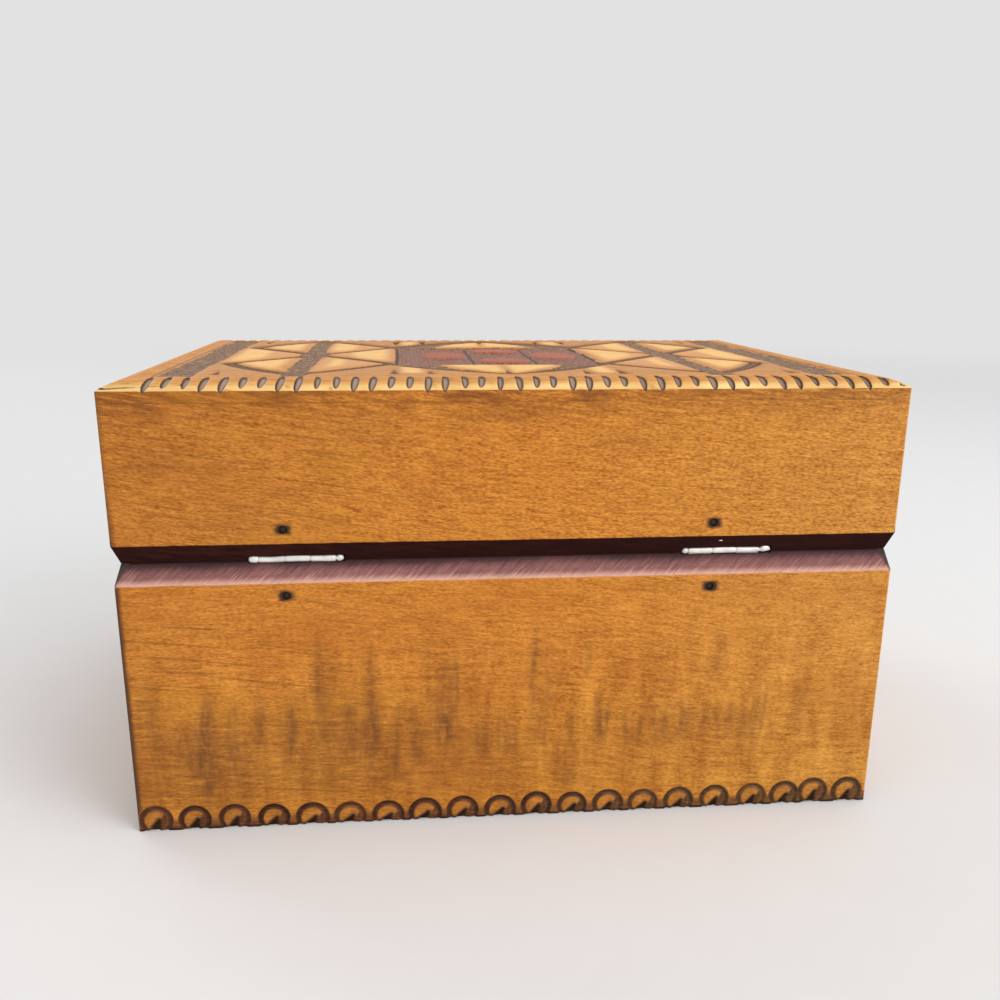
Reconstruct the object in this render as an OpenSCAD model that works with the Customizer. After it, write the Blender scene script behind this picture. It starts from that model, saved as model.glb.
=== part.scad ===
// Hinged wooden box. Mitred boards carry a rounded top board and a rebated bottom panel. A groove
// bevelled into both halves follows the seam, and two small hinges lie in it along the back.
// X runs along the front, Y to the back, Z up. The origin is the middle of the underside.

/* [Box] */
// Width across the front
box_w = 152; // [130:1:180]
// Depth from front to back
box_d = 114; // [95:1:135]
// Height from the table to the top of the lid
box_h = 90; // [80:1:110]
// Thickness of the wall boards
wall_t = 8; // [7:0.5:10]

/* [Lid top] */
// Thickness of the top board
top_t = 4; // [3:0.25:6]
// Width of the rounding along the top edges
edge_run = 6; // [3:0.5:7]
// Drop of that rounding at the outer faces
edge_drop = 1.8; // [1:0.1:2.4]

/* [Seam] */
// Height of the seam between base and lid
seam_z = 56; // [48:0.1:62]
// Depth of the groove round the seam
groove_d = 1.4; // [1:0.1:1.8]
// Height of the groove's bevel on the lid
lid_bevel = 3.7; // [3:0.1:6]
// Height of the groove's bevel on the base
base_bevel = 4.4; // [3:0.1:6]

/* [Bottom] */
// Thickness of the bottom panel
bottom_t = 3; // [2:0.5:5]
// Width of the rebate that the bottom panel sits in
rebate_w = 4; // [2:0.5:5]
// Play round the bottom panel
panel_play = 0.2; // [0.1:0.05:0.5]

/* [Hinges] */
// Distance from the middle of the back to each hinge
hinge_x = 42; // [30:1:50]
// Depth of the hinge pins' axis inside the back face
pin_in = 1.4; // [1:0.1:1.8]
// Height of the hinge pins' axis above the seam
pin_up = 0.3; // [0:0.1:0.5]
// Diameter of a hinge pin
pin_d = 0.7; // [0.6:0.1:1]
// Play between a pin and its knuckles, on the radius
bore_play = 0.05; // [0.02:0.01:0.08]
// Thickness of the sheet that is folded round the pin
sheet_t = 0.25; // [0.2:0.05:0.4]
// Length of one knuckle
knuckle_l = 5; // [4:0.1:6]
// Gap between neighbouring knuckles, and between a leaf and the other leaf's knuckle
knuckle_gap = 0.2; // [0.15:0.05:0.4]
// Diameter of the rounded pin heads
head_d = 1.2; // [1.2:0.1:1.5]
// Length of a pin head
head_l = 1.3; // [1:0.1:2]
// Reach of a leaf from the pin axis into the wood
leaf_h = 9; // [8.5:0.5:12]
// Play of the saw kerf round a leaf, and of the round seat under the barrel
kerf_play = 0.15; // [0.1:0.05:0.3]

/* [Brads] */
// Distance of the brads from the seam
brad_z = 6.5; // [5:0.1:7]
// Offset of the left hinge's brads from its middle
left_brad_x = 3.3; // [-5:0.1:5]
// Offset of the right hinge's brads from its middle
right_brad_x = 2.1; // [-5:0.1:5]
// Shank diameter of a brad
brad_d = 1; // [0.8:0.1:1.4]
// Length of a brad, its head included
brad_l = 6; // [5:0.5:6.5]
// Diameter of a brad's head
brad_head_d = 2; // [1.6:0.1:2.6]
// Thickness of a brad's head
brad_head_t = 0.5; // [0.3:0.1:0.8]
// Play round a brad, on the radius
brad_play = 0.05; // [0.02:0.01:0.1]

/* [Hidden] */
$fn = 64;
top_z = box_h - top_t;
edge_r = (edge_run ^ 2 + edge_drop ^ 2) / (2 * edge_drop);
barrel_r = pin_d / 2 + bore_play + sheet_t;
leaf_w = 3 * knuckle_l + 2 * knuckle_gap;
leaf_from = barrel_r + knuckle_gap;
past = 1;

// Board sections as [depth from the outer face, height]
lid_section = [[groove_d, seam_z], [wall_t, seam_z], [wall_t, top_z], [0, top_z],
               [0, seam_z + lid_bevel]];
base_section = [[0, 0], [wall_t - rebate_w, 0], [wall_t - rebate_w, bottom_t], [wall_t, bottom_t],
                [wall_t, seam_z], [groove_d, seam_z], [0, seam_z - base_bevel]];

// Turns a board that faces -Y to one side of the box, reach away from the middle
module on_side(turn, reach) {
    rotate(turn)
        translate([0, -reach, 0])
            children();
}

// One wall board with mitred ends, its outer face on y = 0
module mitred_board(length, section) {
    half = length / 2;
    intersection() {
        translate([-half, 0, 0])
            rotate([90, 0, 90])
                linear_extrude(length)
                    polygon(section);
        linear_extrude(box_h)
            polygon([[-half, 0], [half, 0], [half - wall_t, wall_t], [wall_t - half, wall_t]]);
    }
}

// A round bar along X, centred
module x_bar(r, length) {
    rotate([0, 90, 0])
        cylinder(r = r, h = length, center = true);
}

// A round bar along Y that starts at the back face and runs inwards
module y_bar(r, from, length) {
    translate([0, box_d / 2 - from, 0])
        rotate([90, 0, 0])
            cylinder(r = r, h = length);
}

// Places a hinge part, drawn about its pin axis, at the left (-1) or right (1) hinge
module at_hinge(side) {
    translate([side * hinge_x, box_d / 2 - pin_in, seam_z + pin_up])
        children();
}

// Places a brad part beside each hinge, above (1) or below (-1) the seam
module at_brads(up) {
    for (side = [-1, 1])
        translate([brad_x(side), 0, seam_z + up * brad_z])
            children();
}

function brad_x(side) = side * hinge_x + brad_shift(side);
function brad_shift(side) = side < 0 ? left_brad_x : right_brad_x;
// Height of the brads from the pin axis, into the leaf's own half
function brad_reach(up) = brad_z - up * pin_up;

// The saw kerf and the round seat that take both hinges, cut into one half
module hinge_seats(up) {
    kerf_w = leaf_w + 2 * kerf_play;
    kerf_t = 2 * (sheet_t + kerf_play);
    for (side = [-1, 1])
        at_hinge(side)
            mirror([0, 0, up > 0 ? 0 : 1]) {
                translate([-kerf_w / 2, -kerf_t / 2, -past])
                    cube([kerf_w, kerf_t, past + leaf_h + kerf_play]);
                x_bar(barrel_r + kerf_play, leaf_w + 2 * (head_l + kerf_play));
            }
}

// The stepped holes that the brads are driven into
module brad_holes(up) {
    at_brads(up) {
        y_bar(brad_d / 2 + brad_play, -past, past + brad_l + brad_play);
        y_bar(brad_head_d / 2 + brad_play, -past, past + brad_head_t);
    }
}

// Flush brads, the same pair for either half
module brads(up) {
    at_brads(up) {
        y_bar(brad_head_d / 2, 0, brad_head_t);
        y_bar(brad_d / 2, 0, brad_l);
    }
}

// A leaf of doubled sheet with its own knuckles, counted -1, 0 and 1 along the barrel
module leaf(side, up, knuckles) {
    at_hinge(side)
        mirror([0, 0, up > 0 ? 0 : 1])
            difference() {
                union() {
                    translate([-leaf_w / 2, -sheet_t, leaf_from])
                        cube([leaf_w, 2 * sheet_t, leaf_h - leaf_from]);
                    for (k = knuckles)
                        translate([k * (knuckle_l + knuckle_gap), 0, 0]) {
                            x_bar(barrel_r, knuckle_l);
                            translate([-knuckle_l / 2, -sheet_t, 0])
                                cube([knuckle_l, 2 * sheet_t, leaf_from + past]);
                        }
                }
                x_bar(pin_d / 2 + bore_play, leaf_w + 2 * past);
                translate([brad_shift(side), past, brad_reach(up)])
                    rotate([90, 0, 0])
                        cylinder(d = brad_d + 2 * brad_play, h = 2 * past);
            }
}

// A pin with a rounded head closed up at each end
module pin(side) {
    at_hinge(side) {
        x_bar(pin_d / 2, leaf_w);
        for (end = [-1, 1])
            mirror([end > 0 ? 0 : 1, 0, 0])
                translate([leaf_w / 2, 0, 0]) {
                    rotate([0, 90, 0])
                        cylinder(d = head_d, h = head_l - head_d / 2);
                    translate([head_l - head_d / 2, 0, 0])
                        sphere(d = head_d);
                }
    }
}

module lid_top_board() {
    color("goldenrod")
        difference() {
            translate([-box_w / 2, -box_d / 2, top_z])
                cube([box_w, box_d, top_t]);
            for (side = [0 : 3])
                on_side(side * 90, side % 2 == 0 ? box_d / 2 : box_w / 2)
                    difference() {
                        translate([-box_w, -past, box_h - edge_drop - past])
                            cube([2 * box_w, past + edge_run, edge_drop + 2 * past]);
                        translate([0, edge_run, box_h - edge_r])
                            x_bar(edge_r, 2 * box_w + 2 * past);
                    }
        }
}

module lid_front_wall() {
    color("peru")
        on_side(0, box_d / 2)
            mitred_board(box_w, lid_section);
}

module lid_back_wall() {
    color("peru")
        difference() {
            on_side(180, box_d / 2)
                mitred_board(box_w, lid_section);
            hinge_seats(1);
            brad_holes(1);
        }
}

module lid_left_wall() {
    color("peru")
        on_side(-90, box_w / 2)
            mitred_board(box_d, lid_section);
}

module lid_right_wall() {
    color("peru")
        on_side(90, box_w / 2)
            mitred_board(box_d, lid_section);
}

module base_front_wall() {
    color("peru")
        on_side(0, box_d / 2)
            mitred_board(box_w, base_section);
}

module base_back_wall() {
    color("peru")
        difference() {
            on_side(180, box_d / 2)
                mitred_board(box_w, base_section);
            hinge_seats(-1);
            brad_holes(-1);
        }
}

module base_left_wall() {
    color("peru")
        on_side(-90, box_w / 2)
            mitred_board(box_d, base_section);
}

module base_right_wall() {
    color("peru")
        on_side(90, box_w / 2)
            mitred_board(box_d, base_section);
}

module bottom_panel() {
    inset = wall_t - rebate_w + panel_play;
    color("burlywood")
        translate([inset - box_w / 2, inset - box_d / 2, 0])
            cube([box_w - 2 * inset, box_d - 2 * inset, bottom_t]);
}

module left_hinge_lid_leaf() {
    color("silver")
        leaf(-1, 1, [0]);
}

module right_hinge_lid_leaf() {
    color("silver")
        leaf(1, 1, [0]);
}

module left_hinge_base_leaf() {
    color("silver")
        leaf(-1, -1, [-1, 1]);
}

module right_hinge_base_leaf() {
    color("silver")
        leaf(1, -1, [-1, 1]);
}

module left_hinge_pin() {
    color("gainsboro")
        pin(-1);
}

module right_hinge_pin() {
    color("gainsboro")
        pin(1);
}

module lid_hinge_brads() {
    color("dimgray")
        brads(1);
}

module base_hinge_brads() {
    color("dimgray")
        brads(-1);
}

lid_top_board();
lid_front_wall();
lid_back_wall();
lid_left_wall();
lid_right_wall();
left_hinge_lid_leaf();
right_hinge_lid_leaf();
lid_hinge_brads();
base_front_wall();
base_back_wall();
base_left_wall();
base_right_wall();
bottom_panel();
left_hinge_base_leaf();
right_hinge_base_leaf();
left_hinge_pin();
right_hinge_pin();
base_hinge_brads();
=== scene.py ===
# A hinged wooden box with a chip-carved lid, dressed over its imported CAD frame.
# Lengths are in millimetres and become metres when a mesh is made. On each side of the box
# "along" runs to the right of somebody who faces that side, "inset" runs into the wood, "up" is up.

import math

import bmesh
import bpy
import numpy as np
from mathutils import Matrix, Vector


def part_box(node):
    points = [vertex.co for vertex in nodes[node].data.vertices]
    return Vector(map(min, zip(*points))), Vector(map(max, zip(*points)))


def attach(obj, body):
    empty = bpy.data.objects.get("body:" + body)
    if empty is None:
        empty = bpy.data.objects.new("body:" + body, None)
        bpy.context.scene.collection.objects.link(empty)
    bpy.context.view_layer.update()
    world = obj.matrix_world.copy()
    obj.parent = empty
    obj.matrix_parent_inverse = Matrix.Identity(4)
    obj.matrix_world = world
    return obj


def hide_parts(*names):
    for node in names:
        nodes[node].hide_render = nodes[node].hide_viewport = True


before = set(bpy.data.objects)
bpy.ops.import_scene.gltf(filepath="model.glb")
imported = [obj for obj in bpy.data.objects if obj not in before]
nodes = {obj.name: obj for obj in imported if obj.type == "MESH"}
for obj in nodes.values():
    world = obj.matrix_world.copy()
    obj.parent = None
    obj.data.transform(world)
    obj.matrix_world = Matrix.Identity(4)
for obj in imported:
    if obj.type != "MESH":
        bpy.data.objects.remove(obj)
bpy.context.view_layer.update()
millimetre = 0.001
chance = np.random.default_rng(41)

boardLow, boardHigh = (np.array(corner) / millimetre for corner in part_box("lid_top_board"))
halfWidth, halfDepth, topHeight = boardHigh
halves = (halfWidth, halfDepth)
glueHeight = boardLow[2]
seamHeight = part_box("base_front_wall")[1].z / millimetre
print("frame loaded:", len(nodes), "nodes")

cameraView = {"place": (21.45, 243.76, 109.47), "yaw": 5.57, "pitch": 16.03, "roll": 0.373,
              "lens": 36.378, "sensor": 36.0, "shift": 0.06}


def newObject(name, data):
    made = bpy.data.objects.new(name, data)
    bpy.context.collection.objects.link(made)
    return made


def placeCamera(values):
    # The camera looks back along -Y, turned by yaw, then tipped down by pitch, then rolled
    yaw, pitch, roll = (math.radians(values[key]) for key in ("yaw", "pitch", "roll"))
    ahead = Vector((-math.sin(yaw) * math.cos(pitch), -math.cos(yaw) * math.cos(pitch),
                    -math.sin(pitch)))
    right = Vector((-math.cos(yaw), math.sin(yaw), 0.0))
    above = right.cross(ahead)
    rolledRight = right * math.cos(roll) + above * math.sin(roll)
    rolledAbove = above * math.cos(roll) - right * math.sin(roll)
    data = bpy.data.cameras.new("photoCamera")
    data.lens, data.sensor_width = values["lens"], values["sensor"]
    data.shift_y = values["shift"]
    data.clip_start, data.clip_end = 0.01, 50.0
    camera = newObject("photoCamera", data)
    turn = Matrix((rolledRight, rolledAbove, -ahead)).transposed().to_4x4()
    camera.matrix_world = Matrix.Translation(Vector(values["place"]) * millimetre) @ turn
    bpy.context.scene.camera = camera


placeCamera(cameraView)

studio = {
    "air": 0.6, "backdrop": 0.76, "aimHeight": 0.05, "floorReach": 6.0,
    "floorTone": (0.78, 0.78, 0.78), "floorFade": (420.0, 1500.0),
    "lamps": [
        {"name": "skyPanel", "place": (-0.35, 0.3, 1.4), "size": 1.3, "power": 7.5},
        {"name": "sidePanel", "place": (-0.95, 0.95, 0.75), "size": 0.9, "power": 8.4},
        {"name": "backPanel", "place": (0.9, -1.0, 0.8), "size": 0.9, "power": 4.0},
    ],
}


def lightStudio(values):
    for lamp in values["lamps"]:
        data = bpy.data.lights.new(lamp["name"], "AREA")
        data.shape, data.size, data.energy = "DISK", lamp["size"], lamp["power"]
        light = newObject(lamp["name"], data)
        light.location = lamp["place"]
        light.rotation_mode = "QUATERNION"
        aim = Vector((0, 0, values["aimHeight"])) - light.location
        light.rotation_quaternion = aim.to_track_quat("-Z", "Y")
    # The camera and clear reflections see the backdrop; everything else is lit by the dimmer air
    world = bpy.data.worlds.new("studioAir")
    bpy.context.scene.world = world
    world.use_nodes = True
    tree = world.node_tree
    tree.nodes.clear()
    seen = put(tree, "LightPath")
    direct, glossy, through = (Wire(tree, seen.outputs[f"Is {kind} Ray"])
                               for kind in ("Camera", "Glossy", "Transmission"))
    shown = calc("MAXIMUM", calc("MAXIMUM", direct, glossy), through)
    strength = between(shown, 0.0, 1.0, values["air"], values["backdrop"])
    air = put(tree, "Background", {"Color": (1.0, 1.0, 1.0), "Strength": strength})
    tree.links.new(air.outputs[0], put(tree, "OutputWorld").inputs["Surface"])


class Wire:
    # An output of a node. Arithmetic on it adds Math nodes to the same tree.
    def __init__(self, tree, socket):
        self.tree, self.socket = tree, socket

    def __add__(self, other):
        return calc("ADD", self, other)

    def __sub__(self, other):
        return calc("SUBTRACT", self, other)

    def __mul__(self, other):
        return calc("MULTIPLY", self, other)

    def __abs__(self):
        return calc("ABSOLUTE", self)


def fill(entry, value):
    # A wire is linked to the input, and anything else is set on it; colours get their fourth part
    if isinstance(value, Wire):
        value.tree.links.new(value.socket, entry)
    elif entry.type == "RGBA":
        entry.default_value = (*value, 1.0)
    else:
        entry.default_value = value


def put(tree, kind, values=None, **settings):
    made = tree.nodes.new("ShaderNode" + kind)
    for key, value in settings.items():
        setattr(made, key, value)
    for key, value in (values or {}).items():
        fill(made.inputs[key], value)
    return made


def calc(operation, *values):
    tree = next(value.tree for value in values if isinstance(value, Wire))
    return Wire(tree, put(tree, "Math", dict(enumerate(values)), operation=operation).outputs[0])


def between(value, low, high, outLow=0.0, outHigh=1.0, kind="SMOOTHSTEP"):
    made = put(value.tree, "MapRange", {"Value": value, "From Min": low, "From Max": high,
                                        "To Min": outLow, "To Max": outHigh},
               interpolation_type=kind)
    return Wire(value.tree, made.outputs["Result"])


def blend(value, first, last):
    # Straight from the first number, where the wire is 0, to the last, where it is 1
    return between(value, 0.0, 1.0, first, last, "LINEAR")


def tint(factor, first, second, kind="MIX"):
    made = put(factor.tree, "Mix", {0: factor, 6: first, 7: second}, data_type="RGBA",
               blend_type=kind)
    return Wire(factor.tree, made.outputs[2])


def coats(colour, tones, *layers):
    # Lays the named tones over a colour in turn, each as strong as its wire
    for strength, tone in layers:
        colour = tint(strength, colour, tones[tone])
    return colour


def stretched(parts, lengths, shift=0.0):
    # A place divided by the three lengths over which a pattern changes, so its scale stays at 1
    scaled = [calc("MULTIPLY_ADD", part, 1.0 / length, shift + 7.3 * count)
              for count, (part, length) in enumerate(zip(parts, lengths))]
    return Wire(parts[0].tree, put(parts[0].tree, "CombineXYZ", dict(enumerate(scaled))).outputs[0])


def noise(parts, lengths, shift=0.0, detail=2.0, rough=0.5, warp=0.0):
    place = stretched(parts, lengths, shift)
    made = put(place.tree, "TexNoise", {"Vector": place, "Scale": 1.0, "Detail": detail,
                                        "Roughness": rough, "Distortion": warp})
    return Wire(place.tree, made.outputs["Fac"])


def placeParts(tree):
    # Object place in millimetres, as three wires
    place = Wire(tree, put(tree, "TexCoord").outputs["Object"])
    apart = put(tree, "SeparateXYZ", {0: place})
    return [Wire(tree, apart.outputs[axis]) * (1.0 / millimetre) for axis in range(3)]


def marks(tree, name):
    return Wire(tree, put(tree, "Attribute", attribute_name=name).outputs["Fac"])


def cornerInsets(parts):
    # How deep a point lies inside the two side faces, and inside front and back
    return (calc("SUBTRACT", halfWidth, abs(parts[0])), calc("SUBTRACT", halfDepth, abs(parts[1])))


def newMaterial(name):
    material = bpy.data.materials.new(name)
    material.use_nodes = True
    return material, material.node_tree, placeParts(material.node_tree)


def finishSurface(tree, colour, roughness, height, depth, gloss=0.3, metallic=0.0):
    # height is the wire that the bump follows, depth how far it goes at 1
    shader = tree.nodes["Principled BSDF"]
    bump = put(tree, "Bump", {"Height": height, "Strength": 1.0, "Distance": depth * millimetre})
    for key, value in (("Base Color", colour), ("Roughness", roughness), ("Metallic", metallic),
                       ("Specular IOR Level", gloss), ("Normal", Wire(tree, bump.outputs[0]))):
        fill(shader.inputs[key], value)


def layFloor(values):
    mesh = bpy.data.meshes.new("studioFloor")
    reach = values["floorReach"]
    mesh.from_pydata([(-reach, -reach, 0), (reach, -reach, 0), (reach, reach, 0), (-reach, reach, 0)],
                     [], [(0, 1, 2, 3)])
    floor = newObject("studioFloor", mesh)
    material, tree, parts = newMaterial("floorPaper")
    grain = noise(parts, (9.0, 9.0, 9.0), 0.0, 3.0)
    tone = tint(grain, values["floorTone"], tuple(0.97 * part for part in values["floorTone"]))
    finishSurface(tree, tone, between(grain, 0.0, 1.0, 0.85, 0.95), grain, 0.02, 0.0)
    # Far from the box the floor gives way to the backdrop, so that no horizon shows
    away = calc("SQRT", parts[0] * parts[0] + parts[1] * parts[1])
    paper, clear = (Wire(tree, node.outputs[0])
                    for node in (tree.nodes["Principled BSDF"], put(tree, "BsdfTransparent")))
    fading = put(tree, "MixShader", {0: between(away, *values["floorFade"]), 1: paper, 2: clear})
    tree.links.new(fading.outputs[0], tree.nodes["Material Output"].inputs["Surface"])
    mesh.materials.append(material)
    return floor


lightStudio(studio)
layFloor(studio)
bpy.context.scene.view_settings.view_transform = "Standard"
print("camera and light are up")


def newPiece(name, shape, body, replaced, materials, floats=None, sharpAngle=35.0,
             finishes=None):
    # shape is the points and a list of index arrays, one array for each number of corners
    points, faces = shape
    mesh = bpy.data.meshes.new(name)
    corners = np.concatenate([group.ravel() for group in faces]).astype(np.int32)
    sizes = np.concatenate([np.full(len(group), group.shape[1]) for group in faces])
    mesh.vertices.add(len(points))
    mesh.vertices.foreach_set("co", (points * millimetre).astype(np.float32).ravel())
    mesh.loops.add(len(corners))
    mesh.loops.foreach_set("vertex_index", corners)
    mesh.polygons.add(len(sizes))
    starts = np.concatenate([[0], np.cumsum(sizes)[:-1]])
    mesh.polygons.foreach_set("loop_start", starts.astype(np.int32))
    for material in materials:
        mesh.materials.append(material)
    if finishes is not None:
        mesh.polygons.foreach_set("material_index", finishes.astype(np.int32))
    mesh.update(calc_edges=True)
    mesh.validate()
    for key, values in (floats or {}).items():
        layer = mesh.attributes.new(key, "FLOAT", "POINT")
        layer.data.foreach_set("value", values.astype(np.float32).ravel())
    mesh.polygons.foreach_set("use_smooth", np.ones(len(mesh.polygons), bool))
    mesh.set_sharp_from_angle(angle=math.radians(sharpAngle))
    piece = newObject(name, mesh)
    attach(piece, body)
    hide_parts(*replaced)
    print(name, len(mesh.polygons), "faces")
    return piece


def beside(*parts):
    # Arrays and single numbers as the columns of one array
    return np.stack(np.broadcast_arrays(*parts), axis=-1)


def toSide(side, along, inset, up):
    # Side 0 faces -Y; each further side is a quarter turn to the left about Z
    x, y = along, inset - halves[1 - side % 2]
    for _ in range(side):
        x, y = -y, x
    return beside(x, y, up)


def step(values, low, high):
    # Smooth rise from 0 at low to 1 at high, 3t^2 - 2t^3; falls if low is above high
    t = np.clip((values - low) / (high - low), 0.0, 1.0)
    return t * t * (3.0 - 2.0 * t)


def most(*parts):
    # Largest value at each place; of signed distances this is what all the zones share
    return np.maximum.reduce(np.broadcast_arrays(*parts))


def least(*parts):
    # Smallest value at each place; of signed distances this is the zones together
    return np.minimum.reduce(np.broadcast_arrays(*parts))


def smoothMost(width, first, *others):
    # Largest of the distances, with the crease between them rounded off over the width
    for second in others:
        gap = np.clip(0.5 + 0.5 * (first - second) / width, 0.0, 1.0)
        first = second + (first - second) * gap + width * gap * (1.0 - gap)
    return first


def halfRound(across):
    # Depth of a round groove, the root of 1 - across^2
    return np.sqrt(np.clip(1.0 - across ** 2, 0.0, 1.0))


def nearLine(x, y, start, end):
    # How far along the line from start (0) to end (1) its nearest place lies, and the distance to it
    dx, dy = end[0] - start[0], end[1] - start[1]
    t = np.clip(((x - start[0]) * dx + (y - start[1]) * dy) / (dx * dx + dy * dy), 0.0, 1.0)
    return t, np.hypot(x - start[0] - t * dx, y - start[1] - t * dy)


def arrisRound(place, end, fromEnd, radius):
    # Quarter round that two sides share, each up to the mitre: place along the side, and way inward
    angle = np.pi / 4 * np.clip(1.0 - fromEnd / radius, 0.0, 1.0)
    return np.sign(place) * (end - radius + radius * np.sin(angle)), radius * (1 - np.cos(angle))


woodTones = {
    "honeyDark": (0.332, 0.081, 0.0), "honeyLight": (0.865, 0.345, 0.045),
    "russet": (0.5, 0.14, 0.012), "golden": (0.66, 0.27, 0.016),
    "thread": (0.2, 0.06, 0.008), "curl": (0.2, 0.068, 0.012), "shade": (0.2, 0.052, 0.008),
    # The two end tones paint shade at +X and light at -X over the boards' own tone
    "plusEndShade": (0.87, 0.85, 0.9), "minusEndLight": (1.0, 1.12, 1.5), "foot": (0.95, 1.0, 0.9),
    # The arris tone is a dark joint and, at +X, painted shade; the worn tone is wear and, at -X, a
    # painted highlight
    "arris": (0.09, 0.028, 0.008), "worn": (0.8, 0.42, 0.2), "glue": (0.18, 0.058, 0.012),
    "tan": (0.272, 0.099, 0.026), "brown": (0.105, 0.036, 0.014), "olive": (0.09, 0.047, 0.019),
    "burnt": (0.029, 0.013, 0.006),
    # The groove tones hold painted shade: the near black ones on the lid's bevel and at the seam, and
    # the grey one at the corners; the pink rim tone is partly a painted highlight
    "stainShade": (0.023, 0.006, 0.005), "stainEmber": (0.044, 0.011, 0.008),
    "stainDark": (0.09, 0.042, 0.044), "stainDusk": (0.036, 0.02, 0.022),
    "stainPale": (0.3, 0.13, 0.12), "rimStainAndHighlight": (0.84, 0.47, 0.37),
    "cornerShade": (0.05, 0.046, 0.04),
    "bareDark": (0.43, 0.25, 0.11), "bareLight": (0.6, 0.4, 0.21),
}

# The brads lie as far above as below a height of their own
bradMarks = {"along": (-38.7, 44.2), "middle": 55.8, "away": 6.5, "size": (1.42, 1.02)}


def bareWood(strength):
    return tint(strength, woodTones["bareDark"], woodTones["bareLight"])


def honeyFigure(parts, run, over):
    # The grain of the boards: one wire for how light the wood is, and the patterns it is made of
    x, _, up = parts
    # The top board is a plank of its own, so the pattern starts anew above the glue line
    fresh = run + between(up, glueHeight - 0.01, glueHeight + 0.01, 0.0, 37.0, "LINEAR")
    # The grain rises towards +X. In the lid it does so by 0.082 x, and past x = -10 also by the square
    # of the way. In the base it rises by 0.075 x and swings by 1.9 sin((x + 20) / 22).
    past = calc("MAXIMUM", run + 10.0, 0.0)
    bend = run * 0.082 + past * past * 0.00055
    swing = run * 0.075 + calc("SINE", (run + 20.0) * (1.0 / 22.0)) * 1.9
    ofLid = between(up, seamHeight - 0.01, seamHeight + 0.01, kind="LINEAR")
    slope = (bend - swing) * ofLid + swing
    height = noise((run, over, up), (46.0, 30.0, 24.0), 0.0, 1.0) * 3.0 + (up - slope)
    pores = noise((fresh, over, height), (0.85, 0.4, 0.27), 0.0, 1.0)
    flecks = noise((fresh, over, height), (3.0, 0.8, 0.42), 5.0, 1.0)
    dashes = noise((fresh, over, height), (6.5, 1.6, 0.85), 3.0, 2.0, 0.6)
    blotches = noise((fresh, over, up), (7.0, 5.0, 5.0), 15.0)
    patches = noise((fresh, over, up), (28.0, 20.0, 15.0), 9.0)
    ripples = noise((fresh, over, up), (3.0, 8.0, 15.0), 19.0)
    # Long thin threads, which on the base rise by 0.12 x more than the grain
    steeper = height + run * blend(ofLid, -0.12, 0.0)
    threads = noise((fresh, over, steeper), (17.0, 4.0, 0.5), 11.0, 0.0)
    # Towards -X the lid's coarse figure fades and its pores stand out; the base has weaker pores
    even = between(x, 45.0, -25.0) * ofLid
    coarse = blotches * 0.4 + dashes * 0.65 - 0.525
    coarse = coarse * blend(even, 0.8, 0.25)
    fine = flecks * 0.72 + pores * 1.3 - 1.01
    gain = even * 0.1 + blend(ofLid, 0.92, 1.05)
    lightness = coarse + fine * gain + 0.495
    # Upright ripples, plainer towards the table
    lightness = lightness + (ripples - 0.5) * between(up, 50.0, 26.0, 0.15, 0.95)
    return {"lightness": lightness, "pores": pores, "flecks": flecks, "dashes": dashes,
            "blotches": blotches, "patches": patches, "threads": threads, "even": even, "ofLid": ofLid}


def grooveStain(figure, parts, run, over, side, end):
    # Stained groove along the seam: near black above it, where the lid's bevel faces down and its stain
    # is painted darker as painted shade. Below it the stain pales from dusk over grey mauve to pink,
    # with fine slanting saw marks: the dusk near the seam is painted shadow under the lid, and the pink
    # along the lower arris is partly a painted highlight.
    tones, pores = woodTones, figure["pores"]
    x, _, up = parts
    nearSeam = abs(up - seamHeight)
    saw = noise((up * 1.05 + run, over, up), (0.42, 2.0, 3.0), 6.0, 2.0, 0.6)
    cloud = noise((run, over, up), (9.0, 9.0, 3.0), 23.0)
    # worn grows away from the seam; the stain is painted darker where it is small, a painted shadow
    # under the lid
    worn = cloud * 1.6 + saw * 1.1 + nearSeam
    foot = saw * 0.8 + pores * 0.6 + nearSeam
    # Painted shade, dark grey, where the groove turns the box's corners, most near the seam
    offCorner = nearSeam * 0.3 + abs(side - end)
    stain = coats(
        tint(between(worn, 1.4, 4.0), tones["stainDark"], tones["stainPale"]), tones,
        (between(worn, 2.9, 1.3, 0.0, 0.75), "stainDusk"),
        # Pink along the lower arris, partly a painted highlight
        (between(foot, 3.5, 5.0, 0.0, 0.95), "rimStainAndHighlight"),
        (between(saw, 0.5, 0.76) * between(nearSeam, 0.8, 3.2, 0.0, 0.34), "rimStainAndHighlight"),
        (between(saw, 0.48, 0.26) * between(nearSeam, 4.2, 2.0, 0.1, 0.34), "stainDusk"),
        (between(pores, 0.35, 0.75, 0.0, 0.25), "stainDark"),
        # Near black along the seam itself, a painted shadow under the lid's edge
        (between(nearSeam, 0.45, 0.05, 0.0, 0.85), "stainShade"),
        (between(offCorner, 1.9, 1.2, 0.0, 0.8), "cornerShade"))
    # The lid's bevel faces down and is painted near black as painted shade, with redder patches
    ember = between(cloud * 0.6 + figure["dashes"], 0.62, 1.0, 0.0, between(x, -20.0, 60.0, 0.35, 1.0))
    shadedLidBevel = tint(ember, tones["stainShade"], tones["stainEmber"])
    return tint(figure["ofLid"], stain, shadedLidBevel), saw, nearSeam


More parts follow.
